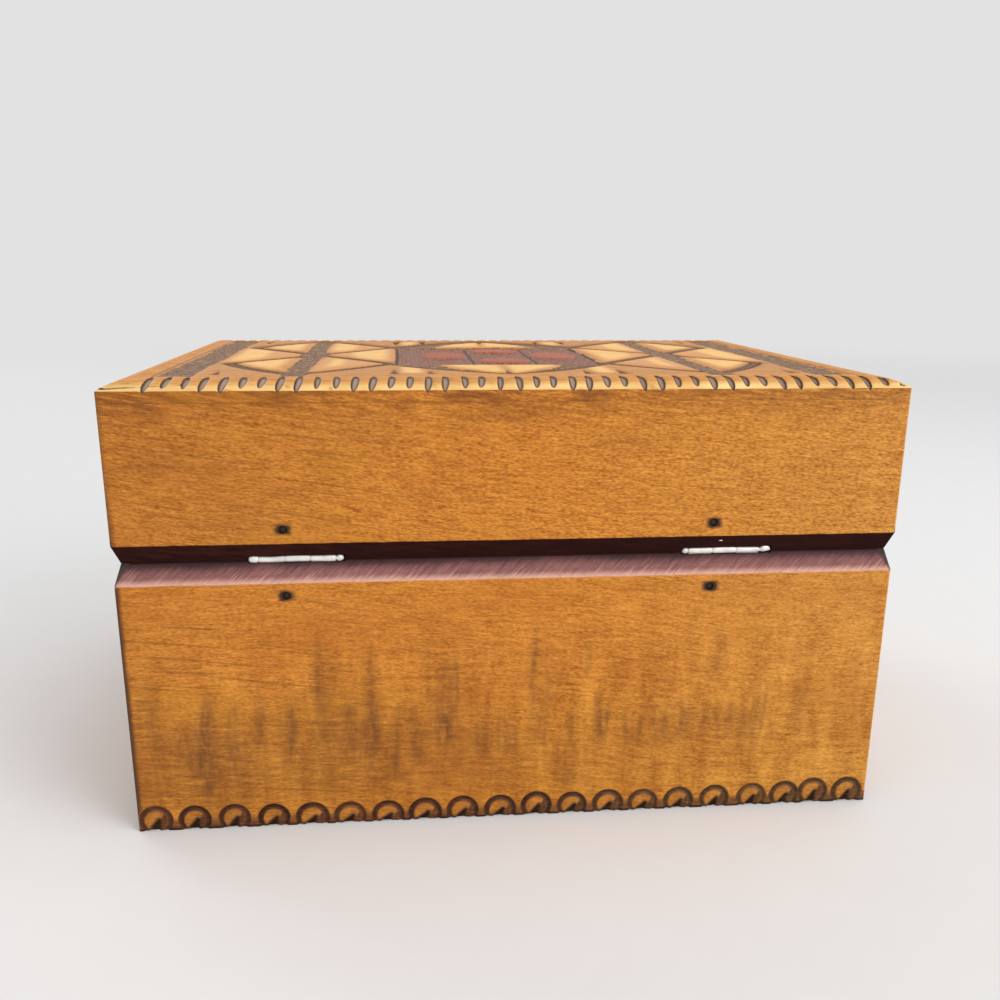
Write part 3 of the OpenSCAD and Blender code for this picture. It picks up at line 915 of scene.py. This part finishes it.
def rimProfile(values):
    # Inset, height, inward normal (inset, up) and distance from the arris of each row round the rim,
    # which falls on a round of radius (run^2 + drop^2) / (2 drop), then goes down the board's edge
    radius = (values["run"] ** 2 + values["drop"] ** 2) / (2 * values["drop"])
    inset = np.array(values["rows"])
    fall = np.clip(values["run"] - inset, 0.0, None)
    angle = np.arcsin(fall / radius)
    up = topHeight - (radius - np.sqrt(radius ** 2 - fall ** 2))
    edge = up[-1] - glueHeight
    down = np.array([*values["edgeRows"], edge - 0.02, edge])
    reach = np.concatenate([inset, -down])
    inset = np.concatenate([inset, np.zeros(len(down) - 1), [0.02]])
    up = np.concatenate([up, up[-1] - down])
    normal = np.concatenate([beside(np.sin(angle), -np.cos(angle)), [(1.0, 0.0)] * len(down)])
    return inset, up, normal, reach, len(angle) - 1


def carveRim(along, reach, half, values, back):
    # Leaf-shaped gouge cuts side by side, two long ones after two short ones. A leaf is widest a
    # little below its middle and rounded at both ends. The wood between two cuts is slightly rounded.
    count = int((2 * half - 8.5) / values["pitch"]) + 1
    centres = half - values["endGap"] - values["pitch"] * np.arange(count)[::-1]
    centres = centres + chance.uniform(*values["unevenPlace"], count)
    low = np.where(np.resize(values["pattern"], count) == 1, values["longFrom"], values["shortFrom"])
    low = low + chance.uniform(*values["unevenLow"], count)
    high = np.minimum(lattice["scored"] - 0.15, half - np.abs(centres) + 0.4)
    high = high - chance.uniform(*values["unevenHigh"], count)
    wide = values["halfWidth"] * chance.uniform(*values["widths"], count)
    lean = chance.uniform(*values["leans"], count) + values["leanMiddle"]
    deep = values["deep"] * chance.uniform(*values["depths"], count)
    nearest = np.abs(along[..., None] - centres).argmin(-1)
    low, high, wide, deep, lean, centre = (group[nearest] for group in
                                           (low, high, wide, deep, lean, centres))
    t = np.clip((reach - low) / (high - low), 0.0, 1.0)
    side = along - centre - lean * (reach - 4.0) - values["sway"] * np.sin(np.pi * t)
    width = wide * np.interp(t, values["leafPlaces"], values["leafWidths"])
    beyond = most(low - reach, reach - high, 0.0)
    distance = np.abs(side) - width + 1.2 * beyond
    bowl = np.clip(1 - (side / np.maximum(width, 1e-3)) ** 2, 0.0, 1.0) * (beyond == 0)
    depth = deep * bowl * np.minimum(width / wide, 1.0) ** 0.7
    depth = most(depth, values["softEdge"] * step(distance, 0.5, 0.0))
    # A few creases in the worn corner
    for start, end in values["creases"] if back else ():
        t, away = nearLine(along, reach, start, end)
        crease = away - values["creaseWide"] + 0.2 * t
        depth = most(depth, values["creaseDeep"] * step(crease, 0.3, -0.1))
        distance = least(distance, crease)
    return depth, distance


def gridFaces(index, flipped=False):
    # Every cell between neighbouring vertex numbers of a grid; flipped ones look down
    corners = [index[:-1, :-1], index[:-1, 1:], index[1:, 1:], index[1:, :-1]]
    return beside(*(corners[:1] + corners[:0:-1] if flipped else corners)).reshape(-1, 4)


def makeLidTop(values, rim):
    # The field is a grid sunk by its depth. Closed rows of points follow down the rim and the board's
    # edge, each point moved by its cut along the row's normal, and rows that thin out towards a coarse
    # grid make the underside.
    fine = tuple(2 * part for part in values["grid"])
    field = gridPoints(values["scored"], topHeight, values["grid"])
    zones = carveField(field[..., 0], field[..., 1], values)
    depth = zones.pop("depth")
    depth[[0, -1], :] = depth[:, [0, -1]] = values["scoreDeep"]
    field[..., 2] -= depth
    index = np.arange(depth.size).reshape(depth.shape)
    points, faces, last = [field.reshape(-1, 3)], [gridFaces(index)], gridRing(index)
    finishes = [np.zeros(len(faces[0]))]

    def addRow(row, finish):
        numbers = sum(map(len, points)) + np.arange(len(row))
        faces.append(ringFaces(last, numbers))
        finishes.append(np.resize(finish, len(faces[-1])))
        points.append(row)
        return numbers

    inset, up, normal, reach, arrisRow = rimProfile(rim)
    inset, up, reach = inset[:, None], up[:, None], reach[:, None]
    sides = []
    for side in range(4):
        half = halves[side % 2]
        along = np.linspace(-1, 1, fine[side % 2], endpoint=False)[None] * (half - inset)
        cut, chip = carveRim(along, reach + 0 * along, half, rim, side == 2)
        corner = np.maximum(rim["corner"] - inset, 1e-6)
        fromEnd = half - inset - np.abs(along)
        rounded, inward = arrisRound(along, half - inset, fromEnd, corner)
        along = np.where(fromEnd < corner, rounded, along)
        cut = cut * step(fromEnd, 0.0, 0.6)
        height = up + cut * normal[:, None, 1]
        shade = shadePatches(along, height, lidShade) if side == 2 else 0 * along
        place = toSide(side, along, inset + inward + cut * normal[:, None, 0], height)
        sides.append((place, chip, shade))
    rows, chip, shade = (np.concatenate(parts, axis=1) for parts in zip(*sides))
    edgeFinish = np.repeat([1, 2, 1, 2], fine * 2)
    for order, row in enumerate(rows):
        last = addRow(row, edgeFinish if order > arrisRow else 0)
    segments = fine
    for inward in values["underRows"]:
        segments = tuple(part // 2 for part in segments)
        last = addRow(loopAround(inward, glueHeight, segments), 0)
    under = gridPoints(inward, glueHeight, segments)
    inner = under[1:-1, 1:-1]
    numbers = np.zeros(under.shape[:2], int)
    numbers[1:-1, 1:-1] = sum(map(len, points)) + np.arange(inner[..., 0].size).reshape(inner.shape[:2])
    ring = np.split(last, np.cumsum((segments * 2)[:3]))
    numbers[0, :-1], numbers[:-1, -1], numbers[-1, :0:-1], numbers[:0:-1, 0] = ring
    faces.append(gridFaces(numbers, True))
    finishes.append(np.zeros(len(faces[-1])))
    points = np.concatenate(points + [inner.reshape(-1, 3)])
    # Away from the field every zone is far off, but for the chips, burn and shade of the rim
    floats = {key: np.full(len(points), 0.0 if key in ("alongLine", "shade") else 9.0)
              for key in (*zones, "shade")}
    for key, value in zones.items():
        floats[key][:index.size] = value.ravel()
    span = slice(index.size, index.size + chip.size)
    floats["chip"][span], floats["shade"][span] = chip.ravel(), shade.ravel()
    floats["burn"] = 0.95 * step(floats["chip"], 0.12, -0.12)
    kinds = [[pair for pair in zip(faces, finishes) if pair[0].shape[1] == corners]
             for corners in (4, 5)]
    faces = [np.concatenate([group for group, _ in kind]) for kind in kinds]
    return newPiece("carved_lid_top", (points, faces), "lid", ["lid_top_board"],
                    [carvedFinish, longWood, shortWood], floats, 50.0,
                    np.concatenate([finish for kind in kinds for _, finish in kind]))


lidTones = {
    "orangeDark": (0.44, 0.155, 0.022), "orangeLight": (0.76, 0.34, 0.07),
    "paleDark": (0.78, 0.4, 0.09), "paleLight": (0.96, 0.59, 0.19),
    "blush": (0.62, 0.27, 0.11), "shade": (0.25, 0.09, 0.03),
    "ground": (0.165, 0.083, 0.04), "groundLight": (0.315, 0.172, 0.087),
    "bits": (0.52, 0.33, 0.19), "panelGround": (0.2, 0.08, 0.05),
    "panelLight": (0.4, 0.19, 0.125), "petal": (0.52, 0.16, 0.095),
    "petalEdge": (0.32, 0.095, 0.055), "burnt": (0.05, 0.026, 0.016),
    # gougeEdge and gouge are the painted shade and painted sheen of the rim gouges
    "lineMiddle": (0.19, 0.092, 0.036), "gougeEdge": (0.05, 0.024, 0.015),
    # The edge tone is a painted highlight on the fall of the rim
    "gouge": (0.38, 0.245, 0.17), "chipRed": (0.2, 0.07, 0.035), "edge": (0.975, 0.7, 0.29),
    "stain": (0.42, 0.12, 0.03),
}


def carvedWood(name):
    material, tree, parts = newMaterial(name)
    tones, scored = lidTones, lattice["scored"]
    x, y, z = parts
    aside, alongLine, stipple, pale, blush, hatch, chip, petals, rails = (
        marks(tree, key) for key in ("aside", "alongLine", "stipple", "pale", "blush", "hatch", "chip",
                                     "petals", "rails"))
    flecks = noise(parts, (2.6, 0.32, 0.5), 0.0, 2.0, 0.55)
    fibres = noise(parts, (18.0, 0.9, 1.2), 3.0, 3.0, 0.6)
    patches = noise(parts, (17.0, 12.0, 12.0), 9.0)
    speck = noise(parts, (0.55, 0.55, 0.55), 5.0, 2.0, 0.6)
    grain = between(flecks * 0.5 + fibres * 0.5, 0.34, 0.66, kind="LINEAR")
    ragged = speck * 0.5 - 0.25
    away = abs(aside)
    inset = calc("MINIMUM", *cornerInsets(parts))
    onRim = between(inset, scored - 0.1, scored - 0.6)
    # A painted highlight, paler, on the fall of the rim, and a few stains
    edge = between(z, topHeight - 0.25, topHeight - 1.4) * between(patches, 0.25, 0.6, 1.0, 0.5)
    spots = noise(parts, (2.6, 2.6, 9.0), 21.0, 1.0)
    # Shading burnt in beside the lines, on the raised cells
    shade = between(patches * 1.2 + away, 4.2, 1.6, 0.0, 0.55) * between(onRim, 1.0, 0.0)
    paleIn = between(pale + ragged, 0.7, -1.9)
    # Fine slanting hatch in the triangles
    wave = put(tree, "TexWave", {"Vector": stretched(parts, (4.6, 3.2, 50.0)), "Scale": 1.0,
                                 "Distortion": 1.2, "Detail": 1.0},
               wave_type="BANDS", bands_direction="DIAGONAL")
    hatchDark = between(hatch, 0.1, -0.4) * between(paleIn, 0.5, 0.0)
    hatchDark = hatchDark * between(Wire(tree, wave.outputs["Fac"]), 0.55, 0.95)
    # Stippled grounds: small punched dots, and lighter bits between them
    punched = put(tree, "TexVoronoi", {"Vector": stretched(parts, (0.95, 0.95, 3.0)), "Scale": 1.0,
                                       "Randomness": 0.75}, feature="F1")
    dotIn = between(Wire(tree, punched.outputs["Distance"]), 0.42, 0.22)
    bits = noise(parts, (1.3, 1.3, 3.0), 33.0, 2.0, 0.6)
    stippleIn = between(stipple + bits * 1.6 + ragged * 0.6, 1.05, 0.6)
    # Burnt double lines with a row of dots between them
    lineIn = between(away + ragged * 0.7, 1.75, 0.95) * between(stipple, -0.3, 0.1)
    rail = between(abs(away - 0.85), 0.4, 0.12)
    beat = calc("PINGPONG", alongLine, 0.85)
    dot = between(calc("SQRT", beat * beat + away * away), 0.48, 0.3)
    burnIn = calc("MAXIMUM", rail, dot) * lineIn
    # Tones that vary within themselves: each a wire between two of the plain ones
    mixed = {key: tint(strength, tones[first], tones[second]) for key, strength, first, second in (
        ("orange", grain, "orangeDark", "orangeLight"), ("blush", patches, "blush", "orangeLight"),
        ("pale", grain, "paleDark", "paleLight"), ("ground", speck, "ground", "groundLight"),
        ("panelGround", speck, "panelGround", "panelLight"), ("petal", patches, "petal", "petalEdge"),
        ("line", speck, "lineMiddle", "ground"),
        # The gouge tone runs from painted shade at a gouge's edge to painted sheen in its middle
        ("gouge", between(chip, -0.16, -0.58), "gougeEdge", "gouge"))}
    inPanel = between(abs(x), 30.0, 28.0) * between(abs(y), 27.0, 22.0)
    mixed["stippled"] = coats(mixed["ground"], {**tones, **mixed},
                              (between(bits, 0.54, 0.68, 0.0, 0.75), "bits"),
                              (inPanel, "panelGround"), (dotIn * 0.75, "burnt"))
    # Chips in the field are red; the gouges on the rim have a dark edge, painted shade on their walls,
    # and a lighter middle, a painted sheen
    mixed["gouge"] = tint(onRim, tones["chipRed"], mixed["gouge"])
    colour = coats(
        mixed["orange"], {**tones, **mixed}, (edge, "edge"),
        (onRim * between(spots, 0.64, 0.76, 0.0, 0.45), "stain"), (shade, "shade"),
        (between(blush + ragged, 0.3, -0.9, 0.0, 0.8), "blush"), (paleIn, "pale"),
        (hatchDark * 0.45, "lineMiddle"), (stippleIn, "stippled"),
        (between(petals + ragged, 0.1, -0.7), "petal"),
        (between(rails, 0.12, -0.12, 0.0, 0.85), "burnt"),
        (lineIn * 0.8, "line"), (burnIn * 0.75, "burnt"),
        (between(chip + ragged * 0.25, 0.06, -0.1), "gouge"),
        (between(abs(inset - scored), 0.34, 0.16) * 0.6, "lineMiddle"))
    # Bare wood below
    under = between(z, glueHeight + 0.1, glueHeight + 0.02)
    colour = tint(under, colour, bareWood(grain))
    roughness = speck * 0.15 + under * 0.25 + 0.33
    relief = flecks * 0.35 - dotIn * stippleIn * 1.2 - burnIn * 0.7 - hatchDark * 0.4
    gloss = between(calc("MAXIMUM", stippleIn, lineIn), 0.0, 1.0, 0.12, 0.03)
    finishSurface(tree, colour, roughness, relief, 0.2, gloss)
    return material


carvedFinish = carvedWood("carvedLidWood")
makeLidTop(lattice, rimCuts)
print("lid is carved")

metalTones = {"nickel": (0.9, 0.885, 0.84), "worn": (0.76, 0.73, 0.66), "grime": (0.24, 0.2, 0.15),
              "iron": (0.018, 0.013, 0.011), "rust": (0.045, 0.022, 0.014)}


def plated(name):
    material, tree, parts = newMaterial(name)
    soft, fine = noise(parts, (2.2, 2.2, 2.2)), noise(parts, (0.5, 0.16, 0.16), 4.0)
    colour = tint(between(soft, 0.35, 0.75), metalTones["nickel"], metalTones["worn"])
    colour = tint(between(fine, 0.66, 0.8, 0.0, 0.5), colour, metalTones["grime"])
    finishSurface(tree, colour, between(fine, 0.2, 0.8, 0.28, 0.48), soft, 0.12, 0.5, 0.4)
    return material


def iron(name):
    material, tree, parts = newMaterial(name)
    soft = noise(parts, (0.5, 0.5, 0.5), 0.0, 3.0)
    colour = tint(soft, metalTones["iron"], metalTones["rust"])
    finishSurface(tree, colour, between(soft, 0.2, 0.8, 0.5, 0.7), soft, 0.08, 0.2)
    return material


def plywood(name):
    material, tree, parts = newMaterial(name)
    fibres = noise(parts, (16.0, 0.7, 1.5), 0.0, 3.0, 0.6)
    figure = noise(parts, (60.0, 5.0, 5.0), 3.0, 2.0, 0.5, 0.6)
    colour = bareWood(between(fibres, 0.3, 0.7))
    colour = tint(between(figure, 0.55, 0.62, 0.0, 0.35), colour, woodTones["bareDark"])
    finishSurface(tree, colour, between(fibres, 0.3, 0.7, 0.55, 0.72), fibres, 0.1)
    return material


nickel, darkIron, panelWood = plated("hingeNickel"), iron("bradIron"), plywood("panelPlywood")

# Knuckles in their order along X, and outlines of the pins as distance from the hinge's middle and
# radius. Each hinge has its own, bent a little: the pin heads and the lift differ.
hingeShape = {
    "knuckles": {"lid_leaf": (0,), "base_leaf": (-1, 1)}, "radius": 0.65, "bore": 0.4,
    "shoulder": 0.08, "sheet": 0.25, "leafWidth": 15.4,
    "neck": {1: (0.45, 1.0), -1: (0.35, 1.8)}, "leaf": {1: (0.95, 9.0), -1: (1.75, 9.0)},
    1: {"middle": -0.15, "pitch": 4.82, "length": 4.78,
        "pin": [(-8.86, 0.1), (-8.8, 0.3), (-8.62, 0.5), (-8.36, 0.62), (-8.08, 0.66),
                (-7.82, 0.62), (-7.62, 0.5), (-7.5, 0.38), (7.1, 0.38), (7.2, 0.56), (7.45, 0.66),
                (8.1, 0.68), (8.55, 0.66), (8.84, 0.55), (9.0, 0.36), (9.06, 0.12)],
        "bend": ([-8.4, -7.4, -4.9, -2.6, -0.2, 2.3, 4.8, 7.2, 8.5],
                 [0.08, 0.0, -0.04, 0.03, 0.08, 0.05, -0.1, -0.02, 0.02]),
        "girth": ([-7.0, -6.2, -4.5, -2.7, -2.4, 1.8, 2.2, 2.6, 4.8, 6.6, 7.1],
                  [1.0, 1.02, 0.92, 0.9, 0.98, 1.0, 0.97, 0.92, 0.84, 0.86, 0.95])},
    -1: {"middle": 0.5, "pitch": 4.8, "length": 4.76,
         "pin": [(-8.92, 0.08), (-8.85, 0.26), (-8.6, 0.46), (-8.2, 0.62), (-7.75, 0.68),
                 (-7.3, 0.66), (-6.95, 0.54), (-6.78, 0.38), (7.82, 0.38), (7.92, 0.5), (8.14, 0.6),
                 (8.42, 0.61), (8.7, 0.53), (8.9, 0.34), (8.97, 0.1)],
         "bend": ([-8.6, -7.6, -6.7, -4.3, -1.9, 0.5, 2.9, 5.3, 8.4],
                  [0.28, 0.26, 0.1, 0.02, 0.07, 0.09, 0.05, 0.0, 0.06]),
         "girth": ([-6.6, -5.8, -4.3, -2.0, -1.6, 0.5, 2.6, 2.9, 5.3, 7.6],
                   [0.72, 0.8, 0.88, 0.96, 1.0, 1.01, 1.0, 0.96, 0.93, 0.88])},
    # A fleck of the right lid leaf that shows in the groove: place, and its outline along X
    "fleck": ((1.55, 0.96, 2.23),
              [(-0.4, 0.02), (-0.25, 0.08), (0.0, 0.11), (0.25, 0.07), (0.4, 0.02)]),
}


def turned(outline, centre, closed, bend=None, axis=0, segments=40):
    # Turns an outline of (place along the axis, radius) about it: radius cos(angle), radius sin(angle).
    # A closed outline makes a tube. All but the thin wire is lifted by the bend at its place.
    spots = np.array(outline)
    place, radius = spots.T[..., None]
    angle = np.linspace(0.0, 2 * np.pi, segments, endpoint=False)
    lift = np.interp(place, *bend) * (radius > 0.42) if bend else 0.0
    over, up = radius * np.cos(angle), radius * np.sin(angle) + lift
    points = beside(*((place, over, up) if axis == 0 else (over, place, up))).reshape(-1, 3) + centre
    index = np.arange(len(points)).reshape(len(spots), segments)
    ahead = np.roll(index, -1, axis=0)
    quads = beside(index, ahead, np.roll(ahead, -1, axis=1), np.roll(index, -1, axis=1))
    if closed:
        faces = [quads.reshape(-1, 4)]
    else:
        faces = [quads[:-1].reshape(-1, 4), index[:1], index[-1:, ::-1]]
    return points, faces if axis == 0 else [group[:, ::-1] for group in faces]


def block(low, high):
    # A box between two opposite corners: low + (0 or 1) * (high - low) in each direction
    points = np.array([(x, y, z) for x in (0, 1) for y in (0, 1) for z in (0, 1)]) * (high - low) + low
    return points, [np.array([(0, 1, 3, 2), (4, 6, 7, 5), (0, 4, 5, 1), (2, 3, 7, 6), (0, 2, 6, 4),
                              (1, 5, 7, 3)])]


def shells(parts):
    # Several closed shells as one list of points and faces, grouped by number of corners
    faces, total = {}, 0
    for points, groups in parts:
        for group in groups:
            faces.setdefault(group.shape[1], []).append(group + total)
        total += len(points)
    return np.concatenate([points for points, _ in parts]), list(map(np.concatenate, faces.values()))


def makeHinge(hand, handName, values):
    # hand is 1 for the hinge at +X and -1 for the other. A knuckle is a tube with rounded shoulders,
    # its radius multiplied by the girth at each place.
    own, centre = values[hand], pinAxis * (hand, 1, 1)
    half, shoulder, radius = own["length"] / 2, values["shoulder"], values["radius"]
    sheet, width = values["sheet"], values["leafWidth"] / 2
    turn = np.linspace(0.0, np.pi / 2, 5)
    for part, direction in (("lid_leaf", 1), ("base_leaf", -1)):
        made = []
        for count in values["knuckles"][part]:
            middle = own["middle"] + count * own["pitch"]
            left = beside(middle - half + shoulder * (1 - np.sin(turn)),
                          radius - shoulder * (1 - np.cos(np.pi / 2 - turn)))
            flank = beside(np.linspace(middle - half + 0.4, middle + half - 0.4, 9), radius)
            right = left[::-1] * (-1, 1) + (2 * middle, 0)
            bore = beside((middle + half, middle - half), values["bore"])
            outline = np.concatenate([left[::-1], flank, right[::-1], bore])
            outline[:-2, 1] *= np.interp(outline[:-2, 0], *own["girth"])
            made.append(turned(outline, centre, True, own["bend"]))
            neck = sorted(direction * end for end in values["neck"][direction])
            made.append(block(centre + (middle - half + 0.1, -2 * sheet, neck[0]),
                              centre + (middle + half - 0.1, -0.2, neck[1])))
        plate = sorted(direction * end for end in values["leaf"][direction])
        made.append(block(centre + (-width, -sheet, plate[0]), centre + (width, sheet, plate[1])))
        if direction > hand:
            place, outline = values["fleck"]
            made.append(turned(outline, centre + place, False))
        newPiece(f"{handName}_{part}_sheet", shells(made), "lid" if direction > 0 else "base",
                 [f"{handName}_hinge_{part}"], [nickel], None, 40.0)
    newPiece(f"{handName}_pin_wire", shells([turned(own["pin"], centre, False, own["bend"])]), "base",
             [f"{handName}_hinge_pin"], [nickel], None, 40.0)


makeHinge(-1, "left", hingeShape)
makeHinge(1, "right", hingeShape)

# Brads as distance from the back face and radius: a small domed head in its dent, and the shank
bradShape = [(0.2, 0.1), (0.22, 0.35), (0.27, 0.55), (0.36, 0.68), (0.46, 0.7), (0.52, 0.5),
             (5.3, 0.5), (5.92, 0.12)]


def makeBrads(body, direction):
    # The outline is turned about Y, as far above or below the middle height as the brads lie away
    level = bradMarks["middle"] + direction * bradMarks["away"]
    outline = np.array(bradShape)[::-1] * (-1, 1)
    nails = [turned(outline, (x, halfDepth, level), False, None, 1) for x in bradMarks["along"]]
    newPiece(f"{body}_back_nails", shells(nails), body, [f"{body}_hinge_brads"],
             [darkIron], None, 40.0)


makeBrads("lid", 1)
makeBrads("base", -1)

panel = nodes["bottom_panel"]
if not panel.material_slots:
    panel.data.materials.append(panelWood)
for materialSlot in panel.material_slots:
    materialSlot.material = panelWood
print("metal and panel are finished")
